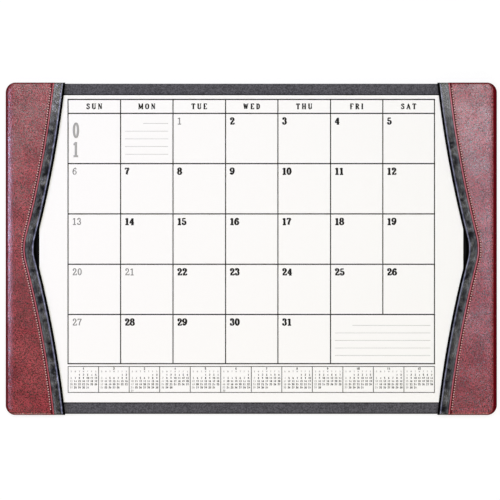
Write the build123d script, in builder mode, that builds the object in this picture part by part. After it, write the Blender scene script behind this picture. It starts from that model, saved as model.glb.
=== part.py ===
# Desk pad with two padded leather side rails that hold a stack of month sheets.
# X runs across the pad, Y away from the person writing, Z up. The origin is the middle of the underside.
from build123d import *
import math
import os

# Month sheets, 22 by 16 inches less a trim, and the card behind them, in millimetres
sheet_width = 558.8
sheet_depth = 404.8
sheet_count = 12
paper_thickness = 0.1
paper_air = 0.04
backing_card_thickness = 0.7

# Room around the sheets: beside them to the strip in each pocket, above them, and the band left in front
sheet_side_clearance = 8.65
pocket_clearance = 0.35
band_depth = 16.675

# Plan of a side rail: how wide the strip is that carries it, how far the rail reaches past the strip
# at the waist, and how much wider it is at its ends
pocket_strip_width = 34.8
waist_overhang = 4.0
rail_flare = 38.9
waist_radius = 57.0
flank_radius = 1457.0
corner_radius = 13.2

# Base layers, from the desk up
felt_thickness = 1.0
felt_setback = 2.0
turn_in_thickness = 0.8
turn_in_width = 16.0
turn_in_clearance = 0.3
board_thickness = 3.0
cover_thickness = 0.8
cover_edge_round = 0.6

# Rail layers, from the pocket up
lining_thickness = 0.5
rail_board_thickness = 1.5
trim_leather = 1.0
leather = 1.0
shoulder_radius = 5.0
rail_board_setback = 2.0

# Black trim band along the inner edge of a rail
trim_width = 13.9
trim_underlap = 8.0
trim_round = 2.2
trim_end_round = 1.5
rail_turn_in = 8.0

# Seam that sews the folded leather edge down on the trim
fold_round = 0.6
stitch_inset = 4.2
stitch_pitch = 3.3
stitch_length = 2.6
stitch_end_margin = 5.0
thread_width = 0.7
thread_height = 0.5
groove_width = 1.1
groove_depth = 0.3

# Overall size and plan places that follow
pocket_edge = leather + pocket_strip_width
pad_width = sheet_width + 2 * (sheet_side_clearance + pocket_edge)
pad_depth = sheet_depth + 2 * band_depth
half_width = pad_width / 2
half_depth = pad_depth / 2
base_width = pad_width - 2 * leather
base_depth = pad_depth - 2 * leather
base_corner = corner_radius - leather
rail_waist_width = pocket_edge + waist_overhang
rail_end_width = rail_waist_width + rail_flare
seam_inset = trim_width + stitch_inset

# Heights that follow from the layers
felt_top = felt_thickness
board_bottom = felt_top + turn_in_thickness
board_top = board_bottom + board_thickness
base_top = board_top + cover_thickness
sheet_step = paper_thickness + paper_air
pocket_height = backing_card_thickness + sheet_count * sheet_step + pocket_clearance
pocket_top = base_top + pocket_height
rail_board_bottom = pocket_top + lining_thickness
rail_board_top = rail_board_bottom + rail_board_thickness
trim_top = rail_board_top + trim_leather
rail_top = trim_top + leather

# The rail board ends short of the rounded shoulder inside the leather, so that padding covers its edge
inner_shoulder = shoulder_radius - leather
shoulder_rise = max(0, inner_shoulder - trim_leather)
shoulder_run = inner_shoulder - math.sqrt(inner_shoulder**2 - shoulder_rise**2)
rail_board_inset = leather + shoulder_run + rail_board_setback

# The inner edge of a rail is a waist arc between two long flank arcs that run on tangent from it
waist_centre = rail_waist_width + waist_radius
centre_distance = waist_radius + flank_radius
end_run = waist_centre - rail_end_width
end_reach = math.hypot(end_run, half_depth)
cosine = (end_reach**2 + centre_distance**2 - flank_radius**2) / (2 * end_reach * centre_distance)
join_angle = math.atan2(half_depth, end_run) - math.acos(cosine)
flank_centre_x = waist_centre - centre_distance * math.cos(join_angle) - half_width
flank_centre_y = centre_distance * math.sin(join_angle)


def flank_point(inset, angle):
    """Point of the left rail's far flank arc, set in from the inner edge, at an angle from X."""
    radius = flank_radius - inset
    return (flank_centre_x + radius * math.cos(angle), flank_centre_y - radius * math.sin(angle))


def flank_end_angle(inset, ends):
    """Angle at which the inset flank arc stops, short of the rail's end by the given distance."""
    return math.asin((flank_centre_y - half_depth + ends) / (flank_radius - inset))


def rail_outline(outer, ends, inset, corner=0.0):
    """Plan of the left rail, set in from its outer side, from both ends and from its inner edge."""
    end_y = half_depth - ends
    end_angle = flank_end_angle(inset, ends)
    tip_x, tip_y = flank_point(inset, end_angle)
    middle_x, middle_y = flank_point(inset, (join_angle + end_angle) / 2)
    join_x, join_y = flank_point(inset, join_angle)
    waist_x = rail_waist_width - inset - half_width
    outer_x = outer - half_width
    with BuildSketch() as outline:
        with BuildLine():
            ThreePointArc((tip_x, tip_y), (middle_x, middle_y), (join_x, join_y))
            ThreePointArc((join_x, join_y), (waist_x, 0), (join_x, -join_y))
            ThreePointArc((join_x, -join_y), (middle_x, -middle_y), (tip_x, -tip_y))
            Polyline((tip_x, -tip_y), (outer_x, -end_y), (outer_x, end_y), (tip_x, tip_y))
        make_face()
        if corner > 0:
            fillet(outline.vertices().group_by(Axis.X)[0], corner)
    return outline.sketch


def edge_band(near, far, ends):
    """Band of the left rail's plan between two insets from the inner edge."""
    with BuildSketch() as band:
        add(rail_outline(0, ends, near))
        add(rail_outline(0, ends, far), mode=Mode.SUBTRACT)
    return band.sketch


def past_pocket_strip(ends):
    """Plan of all that lies inward of the pocket strip, short of both ends by the given distance."""
    with BuildSketch() as area:
        with Locations((pocket_edge - half_width, 0)):
            Rectangle(pad_width, pad_depth - 2 * ends, align=(Align.MIN, Align.CENTER))
    return area.sketch


def pocket_turn_ins():
    """Plan of the two strips, one at each end of the pocket, where the rail's skin is turned in."""
    with BuildSketch() as strips:
        add(past_pocket_strip(0))
        add(past_pocket_strip(leather + rail_turn_in), mode=Mode.SUBTRACT)
    return strips.sketch


def outer_rim(solid):
    """Top edges along the outer side, its corners and the ends."""
    top_edges = solid.faces().sort_by(Axis.Z)[-1].edges()
    corners = top_edges.filter_by(GeomType.CIRCLE).filter_by(lambda edge: edge.radius <= corner_radius)
    return top_edges.filter_by(GeomType.LINE) + corners


def inner_rim(solid):
    """Top edges along the rail's inner edge: the waist and both flanks nearest to the sheets."""
    top_edges = solid.faces().sort_by(Axis.Z)[-1].edges()
    arcs = top_edges.filter_by(GeomType.CIRCLE).filter_by(lambda edge: edge.radius > corner_radius)
    waist = arcs.sort_by(lambda edge: edge.radius)[0]
    flanks = arcs.sort_by(lambda edge: edge.radius)[-2:]
    return ShapeList([waist, *flanks])


# Felt on the underside
with BuildPart() as felt_pad:
    with BuildSketch():
        RectangleRounded(
            pad_width - 2 * felt_setback,
            pad_depth - 2 * felt_setback,
            corner_radius - felt_setback,
        )
    extrude(amount=felt_thickness)

# Card that levels the underside between the turned-in edges of the skins
infill_inset = leather + turn_in_width + turn_in_clearance
with BuildPart() as infill_card:
    with BuildSketch(Plane.XY.offset(felt_top)):
        Rectangle(pad_width - 2 * infill_inset, pad_depth - 2 * infill_inset)
    extrude(amount=turn_in_thickness)

# Stiff board of the base
with BuildPart() as base_board:
    with BuildSketch(Plane.XY.offset(board_bottom)):
        RectangleRounded(base_width, base_depth - 2 * cover_thickness, base_corner)
    extrude(amount=board_thickness)

# Dark cover of the base: a top sheet, the two walls it wraps down to, and their turn-ins below
with BuildPart() as base_cover:
    with BuildSketch(Plane.XY.offset(board_top)):
        RectangleRounded(base_width, base_depth, base_corner)
    extrude(amount=cover_thickness)
    with BuildSketch(Plane.XY.offset(board_bottom)):
        Rectangle(pad_width - 2 * corner_radius, base_depth)
        Rectangle(base_width, base_depth - 2 * cover_thickness, mode=Mode.SUBTRACT)
    extrude(amount=board_thickness)
    with BuildSketch(Plane.XY.offset(felt_top)):
        Rectangle(pad_width - 2 * (pocket_edge + turn_in_clearance), base_depth)
        Rectangle(base_width, base_depth - 2 * turn_in_width, mode=Mode.SUBTRACT)
    extrude(amount=turn_in_thickness)
    fillet(base_cover.edges().filter_by(Axis.X).group_by(Axis.Z)[-1], cover_edge_round)

# Room inside the leather skin of the rail
with BuildPart() as rail_room:
    with BuildSketch(Plane.XY.offset(board_bottom)):
        add(rail_outline(leather, leather, 0, base_corner))
    extrude(amount=trim_top - board_bottom)
    fillet(outer_rim(rail_room), inner_shoulder)

# Strip along the outer side that lifts the rail off the base and closes the back of the pocket
with BuildPart() as pocket_strip:
    with BuildSketch(Plane.XY.offset(base_top)):
        add(rail_outline(leather, leather, 0))
        add(past_pocket_strip(0), mode=Mode.SUBTRACT)
    extrude(amount=pocket_height)
    add(rail_room.part, mode=Mode.INTERSECT)

# Cloth lining on the underside of the rail, facing the sheets
with BuildPart() as rail_lining:
    with BuildSketch(Plane.XY.offset(pocket_top)):
        add(rail_outline(leather, leather, rail_turn_in))
        add(pocket_turn_ins(), mode=Mode.SUBTRACT)
    extrude(amount=lining_thickness)
    add(rail_room.part, mode=Mode.INTERSECT)

# Stiff board inside the rail
with BuildPart() as rail_board:
    with BuildSketch(Plane.XY.offset(rail_board_bottom)):
        add(rail_outline(rail_board_inset, rail_board_inset, trim_leather, corner_radius - rail_board_inset))
    extrude(amount=rail_board_thickness)

# Thin foam over the rail board and round its outer edge, up to the hidden edge of the trim
with BuildPart() as rail_padding:
    add(rail_room.part)
    with BuildSketch(Plane.XY.offset(rail_board_bottom)):
        add(rail_outline(0, 0, trim_width + trim_underlap))
    extrude(amount=trim_top - rail_board_bottom, mode=Mode.INTERSECT)
    add(rail_board.part, mode=Mode.SUBTRACT)

# Leather skin of the rail: the top, the outer side and the ends, turned in below the base and the rail
with BuildPart() as rail_leather:
    with BuildSketch(Plane.XY.offset(felt_top)):
        add(rail_outline(0, 0, trim_width, corner_radius))
    extrude(amount=rail_top - felt_top)
    fillet(outer_rim(rail_leather), shoulder_radius)
    fillet(inner_rim(rail_leather), fold_round)
    add(rail_room.part, mode=Mode.SUBTRACT)
    with BuildSketch(Plane.XY.offset(felt_top)):
        add(past_pocket_strip(0))
    extrude(amount=pocket_top - felt_top, mode=Mode.SUBTRACT)
    with BuildSketch(Plane.XY.offset(felt_top)):
        with Locations((leather + turn_in_width - half_width, 0)):
            Rectangle(pad_width, base_depth - 2 * turn_in_width, align=(Align.MIN, Align.CENTER))
    extrude(amount=turn_in_thickness, mode=Mode.SUBTRACT)
    with BuildSketch(Plane.XY.offset(pocket_top)):
        add(rail_outline(leather, leather, trim_width))
        add(pocket_turn_ins(), mode=Mode.INTERSECT)
    extrude(amount=lining_thickness)
    with BuildSketch(Plane.XY.offset(rail_top - groove_depth)):
        add(edge_band(seam_inset - groove_width / 2, seam_inset + groove_width / 2, stitch_end_margin))
    extrude(amount=groove_depth, mode=Mode.SUBTRACT)

# Black trim: a band of leather folded round the inner edge of the rail board
with BuildPart() as rail_trim:
    with BuildSketch(Plane.XY.offset(pocket_top)):
        add(edge_band(0, trim_width, 0))
    extrude(amount=trim_top - pocket_top)
    fillet(inner_rim(rail_trim), trim_round)
    fillet(outer_rim(rail_trim), trim_end_round)
    with BuildSketch(Plane.XY.offset(rail_board_bottom)):
        add(rail_outline(0, trim_leather, trim_leather))
    extrude(amount=rail_board_thickness, mode=Mode.SUBTRACT)
    with BuildSketch(Plane.XY.offset(pocket_top)):
        add(rail_outline(0, leather + rail_turn_in, rail_turn_in))
    extrude(amount=lining_thickness, mode=Mode.SUBTRACT)
    with BuildSketch(Plane.XY.offset(rail_board_top)):
        add(edge_band(trim_width, trim_width + trim_underlap, shoulder_radius))
    extrude(amount=trim_leather)

# Length of the seam from the waist to its end, as a waist arc and a flank arc
seam_waist_run = (waist_radius + seam_inset) * join_angle
seam_flank_turn = join_angle - flank_end_angle(seam_inset, stitch_end_margin)
seam_flank_run = (flank_radius - seam_inset) * seam_flank_turn
stitches_each_way = int((seam_waist_run + seam_flank_run - stitch_length) / stitch_pitch)


def stitch_place(number):
    """Place and turn of a stitch, numbered along the seam from the waist, backward below it."""
    side = 1 if number >= 0 else -1
    run = abs(number) * stitch_pitch
    if run < seam_waist_run:
        angle = run / (waist_radius + seam_inset)
        x = waist_centre - (waist_radius + seam_inset) * math.cos(angle) - half_width
        y = (waist_radius + seam_inset) * math.sin(angle)
    else:
        angle = join_angle - (run - seam_waist_run) / (flank_radius - seam_inset)
        x, y = flank_point(seam_inset, angle)
    return Location((x, side * y, 0), (0, 0, 90 - side * math.degrees(angle)))


# Thread of the seam: one short bar for each stitch, lying in the groove
stitch_places = [stitch_place(number) for number in range(-stitches_each_way, stitches_each_way + 1)]
with BuildPart() as seam_thread:
    with BuildSketch(Plane.XY.offset(rail_top - groove_depth)):
        with Locations(*stitch_places):
            SlotOverall(stitch_length, thread_width)
    extrude(amount=thread_height)


def sheet_sized(bottom, thickness):
    """Flat piece of the stack, as large as a month sheet."""
    with BuildPart() as piece:
        with BuildSketch(Plane.XY.offset(bottom)):
            Rectangle(sheet_width, sheet_depth)
        extrude(amount=thickness)
    return piece.part


pieces = {
    "felt_pad": felt_pad.part,
    "infill_card": infill_card.part,
    "base_board": base_board.part,
    "base_cover": base_cover.part,
    "backing_card": sheet_sized(base_top, backing_card_thickness),
}

# Month sheets are numbered from the top of the stack down
for number in range(1, sheet_count + 1):
    sheet_bottom = base_top + backing_card_thickness + paper_air + (sheet_count - number) * sheet_step
    pieces[f"month_sheet_{number:02d}"] = sheet_sized(sheet_bottom, paper_thickness)

# The right rail mirrors the left one
rail_pieces = {
    "pocket_strip": pocket_strip.part,
    "rail_lining": rail_lining.part,
    "rail_board": rail_board.part,
    "rail_padding": rail_padding.part,
    "rail_leather": rail_leather.part,
    "rail_trim": rail_trim.part,
    "seam_thread": seam_thread.part,
}
for name, piece in rail_pieces.items():
    pieces[f"left_{name}"] = piece
    pieces[f"right_{name}"] = mirror(piece, about=Plane.YZ)

os.makedirs("parts", exist_ok=True)
for name, piece in pieces.items():
    piece.label = name
    export_step(piece, f"parts/{name}.step")

print(f"{len(pieces)} pieces, {pad_width:.2f} by {pad_depth:.2f} mm, {rail_top:.2f} mm over the rails")
print(f"{len(stitch_places)} stitches in each seam")
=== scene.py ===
# %% [markdown]
# # A desk pad with leather side rails
# A stiff covered base carries two padded leather rails, and a stack of month sheets slides in the pockets
# below them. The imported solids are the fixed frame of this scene. What is soft or stitched is made here as
# surfaces worked out with numpy, because a leather edge is easier to describe by a formula than to sculpt.
# All shapes are worked out in millimetres and turned to metres when they become a mesh.

# %% Frame
import math

import bpy
import numpy as np
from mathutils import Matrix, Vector
from mathutils.geometry import delaunay_2d_cdt


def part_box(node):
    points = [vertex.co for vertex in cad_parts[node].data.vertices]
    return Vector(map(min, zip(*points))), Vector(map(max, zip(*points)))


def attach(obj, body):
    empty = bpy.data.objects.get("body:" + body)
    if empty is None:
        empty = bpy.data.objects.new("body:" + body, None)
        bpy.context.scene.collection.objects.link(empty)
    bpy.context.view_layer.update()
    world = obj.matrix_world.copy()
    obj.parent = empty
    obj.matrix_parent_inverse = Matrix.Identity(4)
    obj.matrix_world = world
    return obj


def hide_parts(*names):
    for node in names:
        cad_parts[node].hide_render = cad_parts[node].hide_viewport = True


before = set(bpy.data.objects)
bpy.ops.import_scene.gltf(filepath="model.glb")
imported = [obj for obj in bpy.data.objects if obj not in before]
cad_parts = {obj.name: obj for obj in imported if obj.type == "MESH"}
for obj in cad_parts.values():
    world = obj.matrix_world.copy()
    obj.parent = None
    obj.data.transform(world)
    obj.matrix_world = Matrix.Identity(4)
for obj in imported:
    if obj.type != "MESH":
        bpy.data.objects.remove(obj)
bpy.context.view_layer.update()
MM = 0.001


def box_mm(name):
    """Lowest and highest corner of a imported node, in millimetres."""
    low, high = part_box(name)
    return np.array(low) / MM, np.array(high) / MM


leather_low, leather_high = box_mm("left_rail_leather")
board_low, board_high = box_mm("left_rail_board")
trim_low, trim_high = box_mm("left_rail_trim")
half_width, half_depth = -leather_low[0], leather_high[1]
print(f"pad {2 * half_width:.2f} by {2 * half_depth:.2f} mm, rails to {leather_high[2]:.2f} mm")

# %% [markdown]
# ## Camera
# The photograph looks straight down, so the pad fills the width of the frame with hardly any perspective.
# A long lens a metre and a half up gives the same flat view. The camera stands a little to the left and
# in front of the pad's middle, because the pad sits that much off the middle of the frame.

# %% Camera
camera_height = 1.5
view_width = 0.6592
pad_middle_height = 0.008
camera_data = bpy.data.cameras.new("camera")
camera_data.sensor_width = 36.0
camera_data.lens = camera_data.sensor_width * camera_height / view_width
camera = bpy.data.objects.new("camera", camera_data)
camera.location = (-0.0017, -0.0016, camera_height + pad_middle_height)
bpy.context.scene.collection.objects.link(camera)
bpy.context.scene.camera = camera
bpy.context.scene.view_settings.view_transform = "Standard"
print(f"lens {camera_data.lens:.1f} mm")

# %% [markdown]
# ## Helpers for materials
# A colour is written as it looks on a screen, so one function turns it to the linear values that Blender
# mixes. One more adds a node and hands on its output, so a finish reads as a chain of steps. A Map Range
# node's list holds the value, the low and high ends that it comes in with, and those that it leaves with.
# In a Mix node, socket 0 is the share and 6 and 7 are the two colours, and output 2 is the mixed colour.


# %% Material helpers
def linear(code):
    """sRGB hex to linear: below 0.04 a straight line, above it a power of 2.4."""
    parts = [int(code[i : i + 2], 16) / 255 for i in (0, 2, 4)]
    return tuple(p / 12.92 if p <= 0.04045 else ((p + 0.055) / 1.055) ** 2.4 for p in parts) + (1.0,)


def feed(tree, target, sockets):
    """Gives sockets a value, or links them to the output that feeds them. A dictionary names them by word
    or number, and a list fills them from the first one on."""
    named = sockets if isinstance(sockets, dict) else dict(enumerate(sockets))
    for name, value in named.items():
        if isinstance(value, bpy.types.NodeSocket):
            tree.links.new(value, target.inputs[name])
        else:
            target.inputs[name].default_value = value


def node(tree, kind, sockets=(), out=0, **settings):
    """Adds a node with its settings and what feeds it, and returns one of its outputs."""
    made = tree.nodes.new("ShaderNode" + kind)
    for name, value in settings.items():
        setattr(made, name, value)
    feed(tree, made, sockets)
    return made.outputs[out]


def scale_of(size):
    """Scale of a pattern whose patches are that many millimetres wide."""
    return 1 / (size * MM)


def new_material(name):
    """A material with its node tree, its shader and the object coordinates that its patterns read."""
    material = bpy.data.materials.new(name)
    material.use_nodes = True
    tree = material.node_tree
    print(f"material {name}")
    return material, tree, tree.nodes["Principled BSDF"], node(tree, "TexCoord", out="Object")


# %% [markdown]
# ## Studio
# Flat work is lit like copy work: broad soft lamps to both sides, above and in front, and an even white
# surround. The floor is pale and keeps the pad's shadow. Its own glow makes the ground white to the camera
# without more light on the pad, and grows outwards, where the lamps no longer reach.

# %% Floor
floor_half, floor_level = 6.0, -0.0002
floor_mesh = bpy.data.meshes.new("floor")
corners = [(x * floor_half, y * floor_half, floor_level) for x, y in ((-1, -1), (1, -1), (1, 1), (-1, 1))]
floor_mesh.from_pydata(corners, [], [(0, 1, 2, 3)])
floor = bpy.data.objects.new("floor", floor_mesh)
bpy.context.scene.collection.objects.link(floor)

near_reach, far_reach, near_glow, far_glow = 0.7, 3.0, 0.78, 1.0
floor_paint, tree, shader, coords = new_material("floor matt white paint")
path = node(tree, "LightPath").node.outputs
seen = node(tree, "Math", [path["Is Camera Ray"], path["Is Glossy Ray"]], operation="MAXIMUM")
seen = node(tree, "Math", [seen, path["Is Transmission Ray"]], operation="MAXIMUM")
away = node(tree, "VectorMath", [coords], "Value", operation="LENGTH")
glow = node(tree, "MapRange", [away, near_reach, far_reach, near_glow, far_glow])
glow = node(tree, "Math", [seen, glow], operation="MULTIPLY")
feed(tree, shader, {"Base Color": linear("8c8c8c"), "Roughness": 0.9, "Specular IOR Level": 0.0})
feed(tree, shader, {"Emission Color": (1, 1, 1, 1), "Emission Strength": glow})
floor_mesh.materials.append(floor_paint)
print(f"floor {2 * floor_half:.0f} m wide, its glow {near_glow} beside the pad")

# %% Surround
world = bpy.data.worlds.new("surround")
world.use_nodes = True
bpy.context.scene.world = world
tree = world.node_tree
path = node(tree, "LightPath").node.outputs
seen = node(tree, "Math", [path["Is Camera Ray"], path["Is Transmission Ray"]], operation="MAXIMUM")
light = node(tree, "Background", {"Color": (1.0, 0.95, 0.6, 1), "Strength": 0.27})
white = node(tree, "Background", {"Color": (1, 1, 1, 1), "Strength": 1.0})
feed(tree, tree.nodes["World Output"], {"Surface": node(tree, "MixShader", [seen, light, white])})
print("surround: a weak warm light, and white to the camera")


# %% Lamps
def softbox(name, place, width, depth, power, code):
    """A soft lamp of that width and depth in metres that faces the middle of the pad."""
    lamp = bpy.data.lights.new(name, "AREA")
    lamp.shape = "RECTANGLE"
    lamp.size, lamp.size_y, lamp.energy = width, depth, power
    lamp.color = linear(code)[:3]
    made = bpy.data.objects.new(name, lamp)
    made.location = place
    made.rotation_mode = "QUATERNION"
    made.rotation_quaternion = Vector(place).to_track_quat("Z", "Y")
    bpy.context.scene.collection.objects.link(made)
    print(f"{name}: {power} W")


softbox("left softbox", (-1.75, 0.1, 1.35), 0.3, 0.8, 16, "d6d4ff")
softbox("right softbox", (0.8, 0.06, 1.6), 0.6, 0.48, 3.8, "d0dfff")
softbox("high softbox", (0.1, 0.8, 1.9), 2.4, 0.8, 21.2, "fafaff")
softbox("front softbox", (0.0, -2.2, 1.3), 1.6, 0.5, 24, "fff7e0")

# %% [markdown]
# ## Plan of a rail
# Both rails have the same plan, mirrored. Across the rail a point is placed by its distance from the outer
# side. The inner edge is a tight waist arc between two long flank arcs, and every seam and fold follows
# that edge at its own inset. All later surfaces use these lines, so the layers nest into each other.

# %% Plan values
waist_width, end_width, pocket_edge = 39.8, 78.7, 35.8
waist_radius, flank_radius, corner_radius = 57.0, 1457.0, 13.2
trim_width, trim_underlap = 13.9, 8.0
stitch_pitch, stitch_length = 3.3, 2.1
seam_inset = trim_width + 3.8

waist_centre = waist_width + waist_radius
centre_distance = waist_radius + flank_radius
end_run = waist_centre - end_width
end_reach = math.hypot(end_run, half_depth)
cosine = (end_reach**2 + centre_distance**2 - flank_radius**2) / (2 * end_reach * centre_distance)
join_angle = math.atan2(half_depth, end_run) - math.acos(cosine)
flank_centre = waist_centre - centre_distance * math.cos(join_angle)
flank_middle = centre_distance * math.sin(join_angle)
print(f"waist and flanks join at {math.degrees(join_angle):.1f} degrees")


def inner_line(y, inset):
    """Distance from the outer side to the line that lies inset from the inner edge, at each y.
    Near the waist the line is on a circle of the waist radius plus the inset, and past the join it is
    on a circle of the flank radius less the inset."""
    reach = np.abs(y) + 0 * inset
    waist = waist_centre - np.sqrt(np.maximum((waist_radius + inset) ** 2 - reach**2, 0))
    flank = flank_centre + np.sqrt((flank_radius - inset) ** 2 - (reach - flank_middle) ** 2)
    return np.where(reach < (waist_radius + inset) * math.sin(join_angle), waist, flank)


def seam_run(y, inset):
    """Distance along the seam from the waist to the place beside each point: arc angle times the seam's
    own radius, with the sign of y."""
    reach = np.abs(y) + 0 * inset
    waist_turn = np.arcsin(np.clip(reach / (waist_radius + inset), 0, 1))
    flank_turn = join_angle - np.arcsin(np.clip((flank_middle - reach) / (flank_radius - inset), -1, 1))
    past = (waist_radius + seam_inset) * join_angle + (flank_radius - seam_inset) * flank_turn
    near = (waist_radius + seam_inset) * waist_turn
    return np.sign(y) * np.where(reach < (waist_radius + inset) * math.sin(join_angle), near, past)


# %% [markdown]
# ## Rows along a rail and its rounded shoulder
# A surface on the rail is a grid: rows run across it from one end to the other, and columns follow its
# edges. Rows crowd together at the ends so that the outer corners come out round. The shoulder is part of
# an ellipse, and the corner turns from the soft long side to the tighter ends by angle.

# %% Rows and shoulder
side_shoulder, end_shoulder = 13.0, 3.5
side_foot = leather_high[2] - 5.0
end_foot = trim_low[2] + 0.1
row_spacing, corner_rows = 0.66, 25


def rail_rows(inset, spacing):
    """y of each row, and the place of the outer side there. In the corners equal turns of an arc about
    the corner's middle, and equal steps between them."""
    turn = np.linspace(0, math.pi / 2, corner_rows)
    straight = half_depth - corner_radius
    curve_y = straight + (corner_radius - inset) * np.cos(turn)
    curve_side = corner_radius - (corner_radius - inset) * np.sin(turn)
    count = round(2 * straight / spacing)
    middle = np.linspace(straight, -straight, count + 1)[1:-1]
    y = np.concatenate([curve_y, middle, -curve_y[::-1]])
    side = np.concatenate([curve_side, np.full(len(middle), inset), curve_side[::-1]])
    return y, side


def end_fall(y):
    """Share of the fall at the ends of a rail: one less the height of a quarter ellipse."""
    rest = np.clip(1 - (half_depth - np.abs(y)) / end_shoulder, 0, 1)
    return 1 - np.sqrt(1 - rest**2)


def from_corner(across, y):
    """Distances past the corner's middle, across and along, and straight from it."""
    dx = np.maximum(corner_radius - across, 0)
    dy = np.maximum(np.abs(y) - (half_depth - corner_radius), 0)
    return dx, dy, np.maximum(np.hypot(dx, dy), 1e-9)


def shoulder(across, y, inset):
    """Share of the fall over the rounded shoulder, and the height of its foot. The distance is taken
    from the rounded corner's middle, and the shoulder's width and foot turn from side to end with the
    square of the angle's sine."""
    _, dy, reach = from_corner(across, y)
    share = dy**2 / reach**2
    width = side_shoulder + (end_shoulder - side_shoulder) * share - inset
    rest = np.clip(1 - (corner_radius - reach - inset) / width, 0, 1)
    return 1 - np.sqrt(1 - rest**2), side_foot + (end_foot - side_foot) * share


# %% [markdown]
# ## From arrays to pieces
# A leather skin is a shell with an outer and an inner surface of the same grid. One function joins the two
# along every open edge, and another puts the arrays into a mesh, turns them the right way out by the
# sign of their volume, and lets the piece ride on its body.


# %% Mesh helpers
def grid_faces(rows, columns):
    """Quads of a grid whose points are numbered row by row."""
    start = (np.arange(rows - 1)[:, None] * columns + np.arange(columns - 1)).ravel()
    return np.stack([start, start + 1, start + columns + 1, start + columns], 1)


def open_edges(faces):
    """Directed edges of the faces whose opposite is in no face."""
    start, end = faces.ravel(), np.roll(faces, -1, 1).ravel()
    size = int(faces.max()) + 1
    lone = ~np.isin(start * size + end, end * size + start)
    return start[lone], end[lone]


def rim_faces(faces, count):
    """Quads between the open edges of the faces and of their copy, which is numbered from count."""
    a, b = open_edges(faces)
    return np.stack([b, a, a + count, b + count], 1)


def shell(outer, inner, faces):
    """Closes an outer and an inner surface of the same faces with a rim along every open edge."""
    count = len(outer)
    sides = [faces, faces[:, ::-1] + count, rim_faces(faces, count)]
    return np.concatenate([outer, inner]), np.concatenate(sides)


def volume_of(points, faces):
    """Signed volume: a sixth of the triple products of each face's triangles, as a fan."""
    first = points[faces[:, 0]]
    fans = [(points[faces[:, k]], points[faces[:, k + 1]]) for k in range(1, faces.shape[1] - 1)]
    return sum(np.einsum("ij,ij->", first, np.cross(b, c)) for b, c in fans) / 6


def make_piece(name, points, blocks, materials, body="pad", picks=None, smooth=True):
    """Mesh of points in millimetres and blocks of faces with equal numbers of sides."""
    volume = sum(volume_of(points, block) for block in blocks)
    if volume < 0:
        blocks = [block[:, ::-1] for block in blocks]
    mesh = bpy.data.meshes.new(name)
    mesh.vertices.add(len(points))
    mesh.vertices.foreach_set("co", (points * MM).astype(np.float32).ravel())
    corners = np.concatenate([block.ravel() for block in blocks])
    sides = np.concatenate([np.full(len(block), block.shape[1]) for block in blocks])
    mesh.loops.add(len(corners))
    mesh.loops.foreach_set("vertex_index", corners.astype(np.int32))
    mesh.polygons.add(len(sides))
    mesh.polygons.foreach_set("loop_start", (np.cumsum(sides) - sides).astype(np.int32))
    for material in materials:
        mesh.materials.append(material)
    if picks is not None:
        mesh.polygons.foreach_set("material_index", picks.astype(np.int32))
    mesh.update(calc_edges=True)
    if smooth:
        mesh.shade_smooth()
    made = bpy.data.objects.new(name, mesh)
    bpy.context.scene.collection.objects.link(made)
    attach(made, body)
    print(f"{name}: {int(np.sum(sides - 2))} triangles, {abs(volume) / 1000:.2f} cm3")
    return made


def put_mark(piece, name, values):
    """Stores one value for each point of a piece, which its material reads."""
    mark = piece.data.attributes.new(name, "FLOAT", "POINT")
    mark.data.foreach_set("value", values.astype(np.float32))


def hump(place, middle, width):
    """Bell curve of height one: e to the minus square of the distance over the width."""
    return np.exp(-(((place - middle) / width) ** 2))


def on_rail(side, across, y, z):
    """Points of a rail from their distance to its outer side; side is -1 on the left and 1 on the right."""
    across, y, z = np.broadcast_arrays(across, y, z)
    return np.stack([side * (half_width - across), y, z], -1).reshape(-1, 3)


both_rails = (("left", -1), ("right", 1))

# %% [markdown]
# ## Burgundy leather
# The skin of a rail is pigment-finished cowhide: deep wine red, lightened on its folded ridge by a painted
# highlight, with a fine pebbled grain and a satin gloss. The grain is drawn as cells about two millimetres
# wide, coarser than the real half millimetre, because a finer one would not show in the picture.

# %% Burgundy leather material
burgundy, tree, shader, coords = new_material("burgundy cowhide, pigment finished")
clouds = {"Vector": coords, "Scale": scale_of(28), "Detail": 4.0, "Roughness": 0.65}
clouds = node(tree, "MapRange", [node(tree, "TexNoise", clouds), 0.32, 0.68])
specks = node(tree, "TexNoise", {"Vector": coords, "Scale": scale_of(1.2), "Detail": 1.0})
specks = node(tree, "MapRange", [specks, 0.41, 0.59])
tone = node(tree, "Mix", {0: clouds, 6: linear("8e2a38"), 7: linear("bf4451")}, 2, data_type="RGBA")
tone = node(tree, "Mix", {0: specks, 6: linear("3c0812"), 7: tone}, 2, data_type="RGBA")

# Shade is painted into the seam's groove and onto the steep edges, a painted highlight lightens the
# folded ridge, and painted shade darkens the needle's holes
seam_mm = node(tree, "Attribute", out="Fac", attribute_name="seam_mm")
steep_shade = node(tree, "Attribute", out="Fac", attribute_name="edge_fall")
holes = node(tree, "Attribute", out="Fac", attribute_name="hole")
groove_shade = [node(tree, "MapRange", [seam_mm, *ends]) for ends in ((1.5, 1.9), (4.2, 4.6, 0.85, 0.0))]
# dark is the painted shade of the seam's groove and of the steep edges
dark = [node(tree, "Math", groove_shade, operation="MULTIPLY"), node(tree, "MapRange", [steep_shade, 0.22, 0.34])]
dark = node(tree, "Math", dark, operation="MAXIMUM")
painted_edge_shading = node(tree, "MapRange", [seam_mm, 1.1, 1.5, 0.85, 0.0])
# painted highlight on the ridge, painted shade, and painted shade in the needle's holes
for share, code in (painted_edge_shading, "b84c5b"), (dark, "5c0812"), (holes, "1c0206"):
    tone = node(tree, "Mix", {0: share, 6: tone, 7: linear(code)}, 2, data_type="RGBA")
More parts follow.
